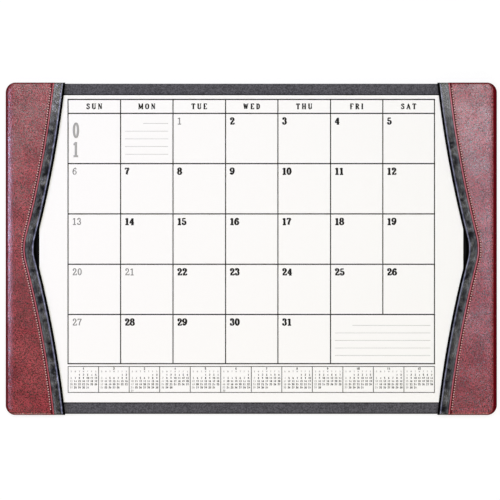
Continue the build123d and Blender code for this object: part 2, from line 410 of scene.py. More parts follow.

# The gloss is broken up by the grain, taken away with the painted shade in the groove and on the steep
# edges, and uneven where hands rest. The hands' noise has a fourth coordinate, held at zero, so that its
# patches differ from those of the clouds
shine = {"Vector": coords, "Scale": scale_of(1.1), "Detail": 1.0, "Distortion": 0.5}
shine = node(tree, "MapRange", [node(tree, "TexNoise", shine), 0.38, 0.62, 0.35, 1.45])
hand = {"Vector": coords, "W": 0.0, "Scale": scale_of(34), "Detail": 2.0}
hand = node(tree, "MapRange", [node(tree, "TexNoise", hand, noise_dimensions="4D"), 0.38, 0.62, 0.8, 1.2])
gloss = node(tree, "MapRange", [dark, 0.0, 1.0, 1.15, 0.0])
for share in shine, hand:
    gloss = node(tree, "Math", [gloss, share], operation="MULTIPLY")
grain = {"Vector": coords, "Scale": scale_of(1.9)}
creases = node(tree, "MapRange", [node(tree, "TexVoronoi", grain, feature="DISTANCE_TO_EDGE"), 0.0, 0.14])
height = node(tree, "Math", [specks, 0.8, creases], operation="MULTIPLY_ADD")
bump = node(tree, "Bump", {"Height": height, "Strength": 0.25, "Distance": 0.2 * MM})
feed(tree, shader, {"Base Color": tone, "Specular IOR Level": gloss, "Normal": bump, "Roughness": 0.26})

# %% [markdown]
# ## The burgundy skin
# Along the seam the skin is folded under, sewn down and drawn in by every stitch, and over the foam it
# swells a little before it rolls down the outer side. It could be sculpted, but a grid of heights by
# formula gives all of it at once: a round nose, a sewn groove with puckers at the stitch pitch, a low
# crown and the elliptic shoulder. The skin then wraps down the wall and is turned in below the base.

# %% Skin heights
trim_top, rail_top = trim_high[2], leather_high[2]
felt_top, pocket_top = leather_low[2], trim_low[2]
strip_flap, pocket_flap, flap_reach = 0.8, 0.5, 9.3
skin_thickness, fold_lift, nose_width, nose_height = 1.0, 0.05, 0.9, 0.85


def skin_profile(distance, run, across, y):
    """Height of the skin's top over its distance from the folded edge: a quarter ellipse nose, less a
    groove at 2.5 mm and a shallow one under the thread, plus a swell behind the seam, with puckers as
    a cosine of the stitch pitch, and a slow uneven wave where the foam gives."""
    nose = np.sqrt(1 - np.clip(1 - distance / nose_width, 0, 1) ** 2)
    grooves = 0.6 * hump(distance, 2.5, 0.6) + 0.2 * hump(distance, 3.9, 0.6)
    swell = 0.1 * (1 - hump(distance, 0, 9))
    wave = np.cos(2 * math.pi * run / stitch_pitch)
    puckers = 0.1 * hump(distance, 5.2, 0.9) + 0.05 * hump(distance, 1.9, 0.7)
    uneven = 0.035 * np.sin(across / 5.1 + 1.7 * np.sin(y / 31)) * np.sin(y / 8.3 + 0.8 * np.sin(across / 11))
    relief = puckers * wave - grooves + swell + uneven * (1 - hump(distance, 0, 8))
    return trim_top + fold_lift + nose_height * nose + nose * relief


# %% Columns of the skin
# They crowd over the fold, the groove and the stitches, and then spread over the open field. Two stand close
# together where the turned-in end passes from the strip to the pocket, so that its step is sharp
seam_steps = [0, 0.05, 0.16, 0.32, 0.55, 0.85, 1.3, 1.7, 2.1, 2.4, 2.7, 3.0, 3.3, 3.6, 3.9, 4.2, 4.5]
seam_steps = np.array(seam_steps + [4.8, 5.1, 5.5, 6.0, 6.6, 7.3, 8.0])
field_end, side_start, field_mm = 8.0, 12.0, 40
row_end = inner_line(half_depth, trim_width + field_end)
strip_share = (row_end - pocket_edge) / (row_end - corner_radius - side_start)
at_strip = strip_share + np.array([-0.0015, 0.0015])
field_count, side_count = 14, 17
field_shares = np.sort(np.concatenate([np.linspace(0, 1, field_count)[1:-1], at_strip]))
side_steps = side_start * (1 - np.sin(np.linspace(0, math.pi / 2, side_count)))
flat_steps = np.full(len(field_shares) + len(side_steps), field_end)
skin_inset = np.concatenate([seam_steps, flat_steps]) + trim_width
skin_side = np.concatenate([np.full(len(seam_steps) + len(field_shares), side_start), side_steps])
skin_share = np.concatenate([0 * seam_steps, field_shares, 1 + 0 * side_steps])
print(f"{len(skin_inset)} columns across the skin")


# %% Grid of the skin
def skin_surface(inset, spacing, first_column=0):
    """Across, y, height, distance from the folded edge and share of the fall over the skin's grid, or over
    the grid of a layer that far inside it."""
    rows_y, rows_side = rail_rows(inset, spacing)
    y = rows_y[:, None]
    fold_inset, side, share = (values[first_column:] for values in (skin_inset, skin_side, skin_share))
    folded = inner_line(y, fold_inset)
    outer = rows_side[:, None] + side * (1 - inset / side_start)
    across = folded + (outer - folded) * share
    distance = fold_inset - trim_width + field_mm * share
    fall, foot = shoulder(across, y, inset)
    if inset > 0:
        top = np.full(across.shape, rail_top - inset)
    else:
        top = skin_profile(distance, seam_run(y, fold_inset), across, y)
    z = foot + (top - foot) * (1 - fall)
    return across, np.broadcast_to(y, across.shape), z, np.broadcast_to(distance, across.shape), fall


# %% Wall and turned-in edge
# The wall turns in below with a bend of one millimetre, or of seven tenths of a lower wall's height
bend_radius, bend_share = 1.0, 0.7
down_shares, bend_turns = (0.35, 0.7, 1.0), np.radians([22, 45, 67, 90])


def wall_levels(across, y, inset):
    """Levels from the shoulder's foot down the wall and in below: each moves the edge's points toward
    the corner's middle by its own distance, and lowers them to its own height. The inner surface goes in
    a little further with each level, so that no two of its points fall together."""
    dx, dy, reach = from_corner(across, y)
    foot = side_foot + (end_foot - side_foot) * dy**2 / reach**2
    in_pocket = across > pocket_edge
    bottom = np.where(in_pocket, pocket_top, felt_top)
    flap = np.where(in_pocket, pocket_flap, strip_flap)
    bend = np.minimum(bend_radius, bend_share * (foot - bottom))
    if inset:
        levels = [(inset + 0.3 * part, foot + (bottom + flap - foot) * part) for part in down_shares]
        levels += [(inset + 0.3 + 0.1 * turn, bottom + flap) for turn in bend_turns]
        levels.append((flap_reach, bottom + flap))
    else:
        levels = [(0.0, foot + (bottom + bend - foot) * part) for part in down_shares]
        levels += [(bend * (1 - math.cos(turn)), bottom + bend * (1 - math.sin(turn))) for turn in bend_turns]
        levels.append((flap_reach, bottom))
    made = []
    for depth, z in levels:
        shrink = (corner_radius - depth) / reach
        new_across = np.where(dx > 0, corner_radius - dx * shrink, across)
        new_y = np.sign(y) * np.where(dy > 0, half_depth - corner_radius + dy * shrink, np.abs(y))
        made.append((new_across, new_y, z))
    return made


# %% Closing the skin
def wrapped_skin(side):
    """The skin's grid with the wall and turn-in hung on its outer side and both ends, as a shell."""
    surfaces, marks = [], []
    for inset in (0.0, skin_thickness):
        across, y, z, distance, fall = skin_surface(inset, row_spacing)
        rows, columns = across.shape
        numbers = np.arange(rows * columns).reshape(rows, columns)
        loop = np.concatenate([numbers[0], numbers[1:-1, -1], numbers[-1, ::-1]])
        points = [on_rail(side, across, y, z)]
        for level in wall_levels(across.ravel()[loop], y.ravel()[loop], inset):
            points.append(on_rail(side, *level))
        surfaces.append(np.concatenate(points))
        levels = len(points) - 1
        rest = np.ones(levels * len(loop))
        marks.append([np.append(distance.ravel(), field_mm * rest), np.append(fall.ravel(), rest)])
    chains = [loop] + [rows * columns + k * len(loop) + np.arange(len(loop)) for k in range(levels)]
    walls = [np.stack([a[1:], a[:-1], b[:-1], b[1:]], 1) for a, b in zip(chains, chains[1:])]
    faces = np.concatenate([grid_faces(rows, columns), *walls])
    return *shell(*surfaces, faces), *np.concatenate(marks, 1)


# %% Leather skins
# The shade painted on the steep edge is stronger on the right rail, whose outer side gets the least
# light, so its fall counts for more there. A hole lies between two stitches, where the cosine of the
# stitch pitch is lowest, and shade is painted into it
edge_shade_gain, right_edge_shade_extra = 1.2, 0.3
hole_place, hole_width = 2.9, 0.75
for word, side in both_rails:
    points, faces, seam_mm, edge_fall = wrapped_skin(side)
    skin = make_piece(f"{word}_rail_skin", points, [faces], [burgundy])
    turn = 2 * math.pi * seam_run(points[:, 1], seam_inset) / stitch_pitch
    put_mark(skin, "seam_mm", seam_mm)
    put_mark(skin, "edge_fall", edge_fall * (edge_shade_gain + right_edge_shade_extra * side))
    put_mark(skin, "hole", hump(seam_mm, hole_place, hole_width) * np.clip(0.6 - np.cos(turn), 0, 1))
    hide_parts(f"{word}_rail_leather")

# %% [markdown]
# ## Foam
# A sheet of foam under the skin gives the rail its cushioned feel. It fills the room between the rail
# board and the skin and thins out over the shoulder, so it is the same surface one skin thickness in.

# %% Foam material
# Open pores about a millimetre wide make the foam look crumbly and matt
foam, tree, shader, coords = new_material("open-cell polyurethane foam")
pores = node(tree, "TexVoronoi", {"Vector": coords, "Scale": scale_of(0.9)})
tone = node(tree, "Mix", {0: pores, 6: linear("a8a593"), 7: linear("dcd9c8")}, 2, data_type="RGBA")
feed(tree, shader, {"Base Color": tone, "Roughness": 0.95})

# %% Foam sheets
foam_gap, foam_spacing, thinnest_foam, board_gap = 0.05, 4.0, 0.15, 0.02
foam_column = len(seam_steps) - 1
for word, side in both_rails:
    across, y, z, _, _ = skin_surface(skin_thickness + foam_gap, foam_spacing, foam_column)
    below = np.minimum(board_high[2] + board_gap, z - thinnest_foam)
    faces = grid_faces(*across.shape)
    points, faces = shell(on_rail(side, across, y, z), on_rail(side, across, y, below), faces)
    padding = make_piece(f"{word}_rail_foam", points, [faces], [foam])
    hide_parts(f"{word}_rail_padding")

# %% [markdown]
# ## Black leather trim
# The inner edge is bound with soft black nappa: a strip folded round the rail board, with a rolled bead
# at the edge, a dip behind it and a loose, slightly gathered body that runs in under the burgundy fold.
# The nappa has a silky sheen, so every gather catches the lamps as a soft light patch.

# %% Black leather material
nappa, tree, shader, coords = new_material("black nappa, aniline dyed")
clouds = {"Vector": coords, "Scale": scale_of(6), "Detail": 3.0, "Roughness": 0.65}
clouds = node(tree, "MapRange", [node(tree, "TexNoise", clouds), 0.36, 0.64])

# Across the band light and shade are painted into the colour: black painted shade below the bead, a
# blue-grey painted highlight along its ridge, black painted shade in the hollow behind it, the band's own
# near-black tone in its middle, paler again, a painted highlight, where the band climbs to the burgundy
# fold, and black painted shade under the fold. The stops are shares of the ramp's width in millimetres,
# and a new ramp's own two stops are taken out
ramp_width = 14.0
bead_mm = node(tree, "Attribute", out="Fac", attribute_name="bead_mm")
tone_with_painted_light = node(tree, "ValToRGB", [node(tree, "MapRange", [bead_mm, 0.0, ramp_width])])
ramp = tone_with_painted_light.node.color_ramp.elements
stops = (0.185, "040405"), (0.21, "7c8098"), (0.265, "75789a"), (0.32, "2a2b38"), (0.4, "0c0c11")
stops += (0.56, "131318"), (0.7, "26282d"), (0.8, "363940"), (0.915, "4e5159"), (0.94, "050507")
for spot, code in stops:
    ramp.new(spot).color = linear(code)
for own_stop in (0, -1):
    ramp.remove(ramp[own_stop])
mottle = node(tree, "MapRange", [clouds, 0.0, 1.0, 0.6, 1.4])
tone = node(tree, "VectorMath", {0: tone_with_painted_light, 3: mottle}, operation="SCALE")

# The band is black over its last millimetre at each end, and the far ends are polished by the hands that hold
# the pad there
along_y = node(tree, "SeparateXYZ", [coords], "Y")
cut_end = node(tree, "Math", [along_y], operation="ABSOLUTE")
cut_end = node(tree, "MapRange", [cut_end, 0.2168, 0.2178])
tone = node(tree, "Mix", {0: cut_end, 6: tone, 7: linear("040405")}, 2, data_type="RGBA")
polish = {"Vector": coords, "Scale": scale_of(12), "Detail": 3.0, "Roughness": 0.55}
polish = node(tree, "MapRange", [node(tree, "TexNoise", polish), 0.38, 0.62, 0.05, 0.62])
handled = node(tree, "MapRange", [along_y, 0.16, 0.208])
polish = node(tree, "Math", [polish, handled], operation="ADD", use_clamp=True)
gloss = node(tree, "MapRange", [bead_mm, 2.2, 2.9])
gloss = node(tree, "Math", [gloss, polish], operation="MULTIPLY")
grain = {"Vector": coords, "Scale": scale_of(2.1)}
creases = node(tree, "MapRange", [node(tree, "TexVoronoi", grain, feature="DISTANCE_TO_EDGE"), 0.0, 0.15])
height = node(tree, "Math", [clouds, 2.0, creases], operation="MULTIPLY_ADD")
bump = node(tree, "Bump", {"Height": height, "Strength": 0.7, "Distance": 0.3 * MM})
feed(tree, shader, {"Base Color": tone, "Specular IOR Level": gloss, "Normal": bump})
feed(tree, shader, {"Roughness": 0.27, "IOR": 1.8})

# %% Columns of the trim
# The bead from below to its crest: inset from the rail's edge, and rise as a share of the trim's thickness.
# Its lining keeps further in by its own steps, so that no two of its points fall together
bead_inset = [8.0, 4.5, 0.9, 0.3, 0.05, 0.0, 0.08, 0.25, 0.5, 0.8, 1.1, 1.4, 1.7, 2.0, 2.3, 2.6, 2.9]
bead_rise = [0, 0, 0, 0, 0.15, 0.5, 0.9, 1.25, 1.6, 1.92, 2.17, 2.36, 2.52, 2.66, 2.78, 2.9, 2.98]
bead_rise = np.array(bead_rise) / 3
top_steps = [3.2, 3.5, 3.9, 4.4, 5.1, 5.9, 6.8, 7.7, 8.6, 9.5, 10.4, 11.3, 12.1, 12.8, 13.3, 13.6]
tucked_steps = trim_width + np.array([0.2, 1.2, 4.0, trim_underlap])
band_inset = np.concatenate([bead_inset, top_steps, tucked_steps])
lining_step = np.zeros(len(band_inset))
lining_step[2:6] = 1.2, 0.8, 0.5, 0.2
band_rise = np.append(bead_rise, np.ones(len(top_steps) + len(tucked_steps)))
band_height = pocket_top + (trim_top - pocket_top) * band_rise
tucked = band_inset > trim_width
upper = np.arange(len(band_inset)) >= len(bead_inset)
band_end = np.where(tucked, 1.0, 0.0)
print(f"{len(band_inset)} columns across the trim")


def gathers(inset, run):
    """Height of the gathers: a sum of sines along the band, turned a little by the inset so that the
    folds lie askew, and strongest in the middle of the band."""
    folds = np.sin(run / 1.25 + 0.45 * inset + 1.9 * np.sin(run / 13))
    folds = folds + 1.2 * np.sin(run / 2.9 - 0.4 * inset + 1.3 * np.sin(run / 29 + 1))
    fine = np.sin(run / 0.7 + 1.1 * inset + 2.3 * np.sin(run / 7)) * np.sin(run / 5.3 + 0.9 * inset)
    swing = 0.65 + 0.35 * np.sin(run / 37 + 0.5)
    return hump(inset, 9.2, 3.5) * ((0.17 * folds + 0.12 * fine) * swing - 0.02)


def dip(inset):
    """The hollow behind the rolled bead and the slight sink at the burgundy fold."""
    return -0.45 * hump(inset, 5.2, 1.2) - 0.16 * hump(inset, 13.6, 1.0)


# %% Trim bands
# At its ends the band is pressed almost flat, and the gathers run a few hundredths shorter on the right, so
# that the two bands are not mirror images
flattest, run_difference = 0.967, 0.07
rows_y, _ = rail_rows(0.0, row_spacing)
squeeze = 1 - flattest * end_fall(rows_y)[:, None]
for word, side in both_rails:
    y = rows_y[:, None] * (half_depth - band_end) / half_depth
    inset = np.broadcast_to(band_inset, y.shape)
    run = seam_run(y, inset)
    relief = gathers(inset, run * (1 + run_difference * side)) + dip(inset)
    relief = np.where(upper & ~tucked, relief, 0.0)
    outer_z = pocket_top + (band_height + relief - pocket_top) * squeeze
    board_z = np.clip(band_height, board_low[2] - board_gap, board_high[2] + board_gap)
    inner_z = pocket_top + (board_z - pocket_top) * squeeze
    inner_inset = np.maximum(inset, 1.0) + lining_step
    outer = on_rail(side, inner_line(y, inset), y, outer_z)
    inner = on_rail(side, inner_line(y, inner_inset), y, inner_z)
    points, faces = shell(outer, inner, grid_faces(*y.shape))
    band = make_piece(f"{word}_trim_band", points, [faces], [nappa])
    put_mark(band, "bead_mm", np.tile(inset.ravel(), 2))
    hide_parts(f"{word}_rail_trim")

# %% [markdown]
# ## Seam thread
# The seam is a row of lockstitches in bonded polyester thread. Each stitch shows as a short plump bar that
# dives into its two holes, so it is a small tube that thins and bends down at its ends. One stitch is worked
# out once, and arrays carry it to all the places along the seam.

# %% Thread material
# The bonding melts the plies together, so the thread is smooth and catches a small sharp light
thread, tree, shader, coords = new_material("bonded polyester thread, dusty rose")
plies = node(tree, "TexNoise", {"Vector": coords, "Scale": scale_of(0.6), "Detail": 1.0})
tone = node(tree, "Mix", {0: plies, 6: linear("e0aaaa"), 7: linear("fae0da")}, 2, data_type="RGBA")
bump = node(tree, "Bump", {"Height": plies, "Strength": 0.4, "Distance": 0.08 * MM})
feed(tree, shader, {"Base Color": tone, "Normal": bump, "Roughness": 0.3})

# %% One stitch
ring_count, ring_sides, thread_radius, thread_flatness = 7, 6, 0.42, 1.6
thread_sink, hole_depth = 0.22, 0.5
along = stitch_length / 2 * np.linspace(-0.96, 0.96, ring_count)
round_turn = 2 * math.pi * np.arange(ring_sides) / ring_sides
share = np.abs(along) / (stitch_length / 2)
thickness = thread_radius * np.sqrt(1 - share**3)
middle_z = rail_top - thread_sink - hole_depth * share**3
stitch_x = (along[:, None] + 0 * round_turn).ravel()
stitch_y = (thickness[:, None] * thread_flatness * np.cos(round_turn)).ravel()
stitch_z = (middle_z[:, None] + thickness[:, None] * np.sin(round_turn)).ravel()
ring = np.arange(ring_sides)
following = (ring + 1) % ring_sides
starts = np.arange(ring_count - 1)[:, None] * ring_sides
ends = starts + ring_sides
stitch_quads = [starts + ring, starts + following, ends + following, ends + ring]
stitch_quads = np.stack(stitch_quads, -1).reshape(-1, 4)
stitch_caps = np.stack([ring[::-1], (ring_count - 1) * ring_sides + ring])

# %% Seams
seam_end, stitch_lean = 5.0, 0.07
waist_bend, flank_bend = waist_radius + seam_inset, flank_radius - seam_inset
flank_end = math.asin((flank_middle - half_depth + seam_end) / flank_bend)
seam_waist = waist_bend * join_angle
seam_reach = seam_waist + flank_bend * (join_angle - flank_end)
each_way = int((seam_reach - stitch_length) / stitch_pitch)
number = np.arange(-each_way, each_way + 1)
run = np.abs(number) * stitch_pitch
on_waist = run < seam_waist
angle = np.where(on_waist, run / waist_bend, join_angle - (run - seam_waist) / flank_bend)
sign = np.where(number < 0, -1, 1)
bend = np.where(on_waist, -waist_bend, flank_bend)
stitch_across = np.where(on_waist, waist_centre, flank_centre) + bend * np.cos(angle)
stitch_up = sign * (np.where(on_waist, 0, flank_middle) - bend * np.sin(angle))
lean = (sign * angle + stitch_lean)[:, None]
print(f"{len(number)} stitches in each seam")
shift = (np.arange(len(number)) * len(stitch_x))[:, None, None]
quads = (stitch_quads + shift).reshape(-1, 4)
caps = (stitch_caps + shift).reshape(-1, ring_sides)
for word, side in both_rails:
    across = stitch_across[:, None] + np.sin(lean) * stitch_x - np.cos(lean) * stitch_y
    y = stitch_up[:, None] + np.cos(lean) * stitch_x + np.sin(lean) * stitch_y
    seam = make_piece(f"{word}_seam_stitches", on_rail(side, across, y, stitch_z), [quads, caps], [thread])
    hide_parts(f"{word}_seam_thread")

# %% [markdown]
# ## Felt
# The underside is pressed wool felt, cut a little smaller than the pad, with a soft rounded edge that
# years of handling give it. It is one outline with rounded corners, carried through a small edge profile.

# %% Felt material
# Matted fibres scatter the light, so the felt is dull, with a faint sheen where it is seen aslant
felt, tree, shader, coords = new_material("pressed wool felt")
fibres = {"Vector": coords, "Scale": scale_of(1.2), "Detail": 4.0, "Roughness": 0.7}
fibres = node(tree, "TexNoise", fibres)
tone = node(tree, "Mix", {0: fibres, 6: linear("1c1c1f"), 7: linear("3c3c42")}, 2, data_type="RGBA")
bump = node(tree, "Bump", {"Height": fibres, "Strength": 0.6, "Distance": 0.2 * MM})
feed(tree, shader, {"Base Color": tone, "Normal": bump, "Roughness": 0.95, "Sheen Weight": 0.4})


# %% Felt pad
def rounded_outline(half_x, half_y, radius, corner_steps=10):
    """Closed outline of a rectangle with quarter circles at its corners, counter-clockwise."""
    turn = np.linspace(0, math.pi / 2, corner_steps)
    pieces = []
    for quarter, (sx, sy) in enumerate([(1, 1), (-1, 1), (-1, -1), (1, -1)]):
        at = turn + quarter * math.pi / 2
        middle = np.array([sx * (half_x - radius), sy * (half_y - radius)])
        pieces.append(middle + radius * np.stack([np.cos(at), np.sin(at)], 1))
    return np.concatenate(pieces)


felt_low, felt_high = box_mm("felt_pad")
felt_thickness, felt_round, felt_half_round, felt_setback = 1.0, 0.45, 0.13, 2.0
lower_half = [(felt_round, 0.0), (felt_half_round, felt_half_round), (0.0, felt_round)]
levels = lower_half + [(pull, felt_thickness - z) for pull, z in lower_half[::-1]]
rings = []
for pull, z in levels:
    outline = rounded_outline(felt_high[0] - pull, felt_high[1] - pull, corner_radius - felt_setback - pull)
    rings.append(np.column_stack([outline, np.full(len(outline), felt_low[2] + z)]))
numbers = np.arange(len(levels) * len(rings[0])).reshape(len(levels), -1)
belt = np.concatenate([numbers, numbers[:, :1]], 1)
sides = np.stack([belt[:-1, :-1], belt[:-1, 1:], belt[1:, 1:], belt[1:, :-1]], -1).reshape(-1, 4)
caps = np.stack([numbers[0, ::-1], numbers[-1]])
felt_piece = make_piece("felt_base", np.concatenate(rings), [sides, caps], [felt], smooth=False)
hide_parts("felt_pad")

# %% [markdown]
# ## Card, board, cloth and paper
# The base cover is a dark blue-grey leatherette, polyurethane on cloth with an embossed grain: an even
# colour, a fine pebble and a dull satin gloss. The boards are grey pulp board and the pocket lining is
# black cloth. The sheets are smooth uncoated writing paper, a clean white with hardly any texture.

# %% Base leatherette
leatherette, tree, shader, coords = new_material("polyurethane leatherette, embossed")
clouds = node(tree, "TexNoise", {"Vector": coords, "Scale": scale_of(1.6), "Detail": 2.0})
clouds = node(tree, "MapRange", [clouds, 0.35, 0.65])
tone = node(tree, "Mix", {0: clouds, 6: linear("3d3d42"), 7: linear("616067")}, 2, data_type="RGBA")

# Shade is painted black onto the cover: in the pockets under the rails, as a painted shadow along the
# stack's edge, and where it turns over the board's front edge
stack_edge, shadow_near, shadow_far = 0.2033, 0.0006, 0.001
apart = node(tree, "SeparateXYZ", [coords]).node.outputs
along, beside = (node(tree, "Math", [apart[axis]], operation="ABSOLUTE") for axis in "YX")
pocket = node(tree, "MapRange", [beside, 0.279, 0.2796])
aside = node(tree, "Math", [along, stack_edge], operation="SUBTRACT")
aside = node(tree, "Math", [aside], operation="ABSOLUTE")
painted_edge_shading = node(tree, "MapRange", [aside, shadow_near, shadow_far, 1.0, 0.0])
turned = node(tree, "MapRange", [apart["Y"], -0.2169, -0.2163, 1.0, 0.0])
# dark is the painted shade and shadow of the pockets, the stack's edge and the front edge
dark = node(tree, "Math", [painted_edge_shading, turned], operation="MAXIMUM")
dark = node(tree, "Math", [dark, pocket], operation="MAXIMUM")
tone = node(tree, "Mix", {0: dark, 6: tone, 7: linear("08080a")}, 2, data_type="RGBA")
pebble = node(tree, "TexVoronoi", {"Vector": coords, "Scale": scale_of(1.3)}, feature="SMOOTH_F1")
bump = node(tree, "Bump", {"Height": pebble, "Strength": 0.35, "Distance": 0.1 * MM})
feed(tree, shader, {"Base Color": tone, "Normal": bump, "Roughness": 0.65, "Specular IOR Level": 0.1})

# %% Pulp board
board, tree, shader, coords = new_material("grey pulp board")
pulp = node(tree, "TexNoise", {"Vector": coords, "Scale": scale_of(1.6), "Detail": 5.0, "Roughness": 0.7})
tone = node(tree, "Mix", {0: pulp, 6: linear("8d877c"), 7: linear("bdb7ab")}, 2, data_type="RGBA")
bump = node(tree, "Bump", {"Height": pulp, "Strength": 0.3, "Distance": 0.1 * MM})
feed(tree, shader, {"Base Color": tone, "Normal": bump, "Roughness": 0.9})

# %% Lining cloth
# A plain weave, its threads drawn 1.2 mm apart, coarser than real, so that they show at all. The wave
# repeats after two threads
lining, tree, shader, coords = new_material("woven cotton lining")
weave = {"Vector": coords, "Scale": scale_of(1.2) / (2 * math.pi), "Distortion": 0.4}
weave = [node(tree, "TexWave", weave, "Fac", bands_direction=way) for way in "XY"]
weave = node(tree, "Math", weave, operation="MULTIPLY")
tone = node(tree, "Mix", {0: weave, 6: linear("1d1d20"), 7: linear("3a3a3f")}, 2, data_type="RGBA")
feed(tree, shader, {"Base Color": tone, "Roughness": 0.9})

# %% Writing paper
paper, tree, shader, coords = new_material("uncoated writing paper")
tooth = node(tree, "TexNoise", {"Vector": coords, "Scale": scale_of(1.5), "Detail": 3.0})
tone = node(tree, "Mix", {0: tooth, 6: linear("fafafa"), 7: linear("fdfdfd")}, 2, data_type="RGBA")
bump = node(tree, "Bump", {"Height": tooth, "Strength": 0.08, "Distance": 0.03 * MM})
feed(tree, shader, {"Base Color": tone, "Normal": bump, "Roughness": 0.8, "Specular IOR Level": 0.2})

# %% Carried-over nodes
finishes = {"base_cover": leatherette, "infill_card": board, "base_board": board, "backing_card": board}
for word, _ in both_rails:
    finishes |= {f"{word}_pocket_strip": board, f"{word}_rail_board": board, f"{word}_rail_lining": lining}
sheet_names = [f"month_sheet_{month:02d}" for month in range(1, 13)]
finishes |= {name: paper for name in sheet_names}
for name, material in finishes.items():
    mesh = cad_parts[name].data
    mesh.materials.clear()
    mesh.materials.append(material)
print(f"{len(finishes)} packed nodes keep their shape and get a finish")

# %% [markdown]
# ## Printing ink
# The print is offset ink: a matt black for the grid and figures, and lighter greys for what should stay in
# the background. Every mark is a closed slip of ink a hundredth of a millimetre thick that lies on its
# sheet and rides with it, so a sheet that is pulled out of the pocket takes its own month along.

# %% Ink materials
inks = []
ink_tones = ("black", "0e0e0e", "1a1a1a"), ("mid grey", "7c7c7c", "8a8a8a")
ink_tones += (("light grey", "a6a6a6", "b4b4b4"),)
for name, dark, pale in ink_tones:
    ink, tree, shader, coords = new_material(f"offset ink, {name}")
    cover = node(tree, "TexNoise", {"Vector": coords, "Scale": scale_of(0.8), "Detail": 2.0})
    tone = node(tree, "Mix", {0: cover, 6: linear(dark), 7: linear(pale)}, 2, data_type="RGBA")
    feed(tree, shader, {"Base Color": tone, "Roughness": 0.7, "Specular IOR Level": 0.25})
    inks.append(ink)
print(f"{len(inks)} inks")


# %% [markdown]
# ## Figures and letters
# The figures are a bold slab serif. A font could be used, but a pen model is enough: every sign is a few
# centre lines, upright strokes are wide and level ones fine, and serifs are even bars. The quads of all
# strokes overlap, so a triangulation of the whole plane keeps each spot once and leaves the holes open.


# %% Pen strokes
def arc(x, y, width, height, start, end, steps=14):
    """Points on an ellipse, between two angles in degrees."""
    turn = np.radians(np.linspace(start, end, steps))
    return np.stack([x + width * np.cos(turn), y + height * np.sin(turn)], 1)


def strokes(text):
    """Strokes of a sign one unit high from text in hundredths of it. A pen stroke, an even bar and a ball
    have pairs of numbers. A round pen stroke has its middle, its two radii, its two angles in degrees
    and, where it isn't 14, its count of points."""
    made = []
    for part in text.split("; "):
        kind, *numbers = part.split()
        if kind == "round":
            made.append(("pen", arc(*(float(n) / 100 for n in numbers[:4]), *map(int, numbers[4:]))))
        else:
            made.append((kind, np.array(numbers, float).reshape(-1, 2) / 100))
    return made


def stroke_quads(points, wide, fine):
    """Quads along a centre line, whose width goes from fine to wide with the square of how upright it is."""
    along = np.gradient(points, axis=0)
    if np.allclose(points[0], points[-1]):
        along[0] = along[-1] = points[1] - points[-2]
    along /= np.linalg.norm(along, axis=1)[:, None]
    half = (fine + (wide - fine) * along[:, 1] ** 2) / 2
    edge = np.stack([-along[:, 1], along[:, 0]], 1) * half[:, None]
    left, right = points + edge, points - edge
    return np.stack([right[:-1], right[1:], left[1:], left[:-1]], 1)


def flat_union(quads):
    """Points and triangles of the area that the quads cover, each spot once, all counter-clockwise.
    The triangulation also fills the holes, so a triangle stays only if it comes from a quad."""
    corners = [Vector(p) for p in quads.reshape(-1, 2).tolist()]
    numbers = np.arange(len(corners)).reshape(-1, 4).tolist()
    points, _, faces, _, _, sources = delaunay_2d_cdt(corners, [], numbers, 1, 1e-5)
    points = np.array([tuple(p) for p in points])
    faces = np.array([face for face, quads_over in zip(faces, sources) if quads_over])
    a, b, c = (points[faces[:, k]] for k in range(3))
    cross = (b[:, 0] - a[:, 0]) * (c[:, 1] - a[:, 1]) - (b[:, 1] - a[:, 1]) * (c[:, 0] - a[:, 0])
    faces[cross < 0] = faces[cross < 0][:, ::-1]
    return points, faces[np.abs(cross) > 1e-12]


# %% Figures: width and strokes
figures = {
    "0": (0.66, "round 33 50 21.5 44.5 0 360 21"),
    "1": (0.58, "pen 32 4 32 97; bar 7 5 55 5; bar 30 92 8 79"),
    "2": (0.66, "round 32 70 20 25 165 -38; pen 47.5 55 13 13; bar 6 7 62 7; bar 60 3 60 26; ball 17 73"),
    "3": (0.66, "round 30 74 19 21.5 150 -85; round 30 29 22.5 24.5 85 -150; ball 16 80; ball 14 21"),
    "4": (0.68, "pen 44 4 44 96; bar 42 93 7 33; bar 3 30 66 30; bar 26 5 62 5"),
    "5": (0.64, "bar 13 90 54 90; bar 15 93 13 50; round 30 31 22.5 26.5 135 -150; ball 14 21"),
    "6": (0.66, "round 33 31 22 26 0 360 18; round 46 36 35.5 59 182 84 9; ball 50 82"),
    "7": (0.62, "bar 6 91 58 91; bar 8 95 8 72; pen 57 90 42 66 32 42 28 20 27 3"),
    "8": (0.66, "round 33 73.5 18.5 21.5 0 360 18; round 33 28.5 22.5 24 0 360 18"),
}
figures = {sign: (width, strokes(text)) for sign, (width, text) in figures.items()}

# A nine is a six turned about its own middle
six_width, six = figures["6"]
figures["9"] = (six_width, [(kind, np.array([six_width, 1.0]) - points) for kind, points in six])
print(f"{len(figures)} figures")

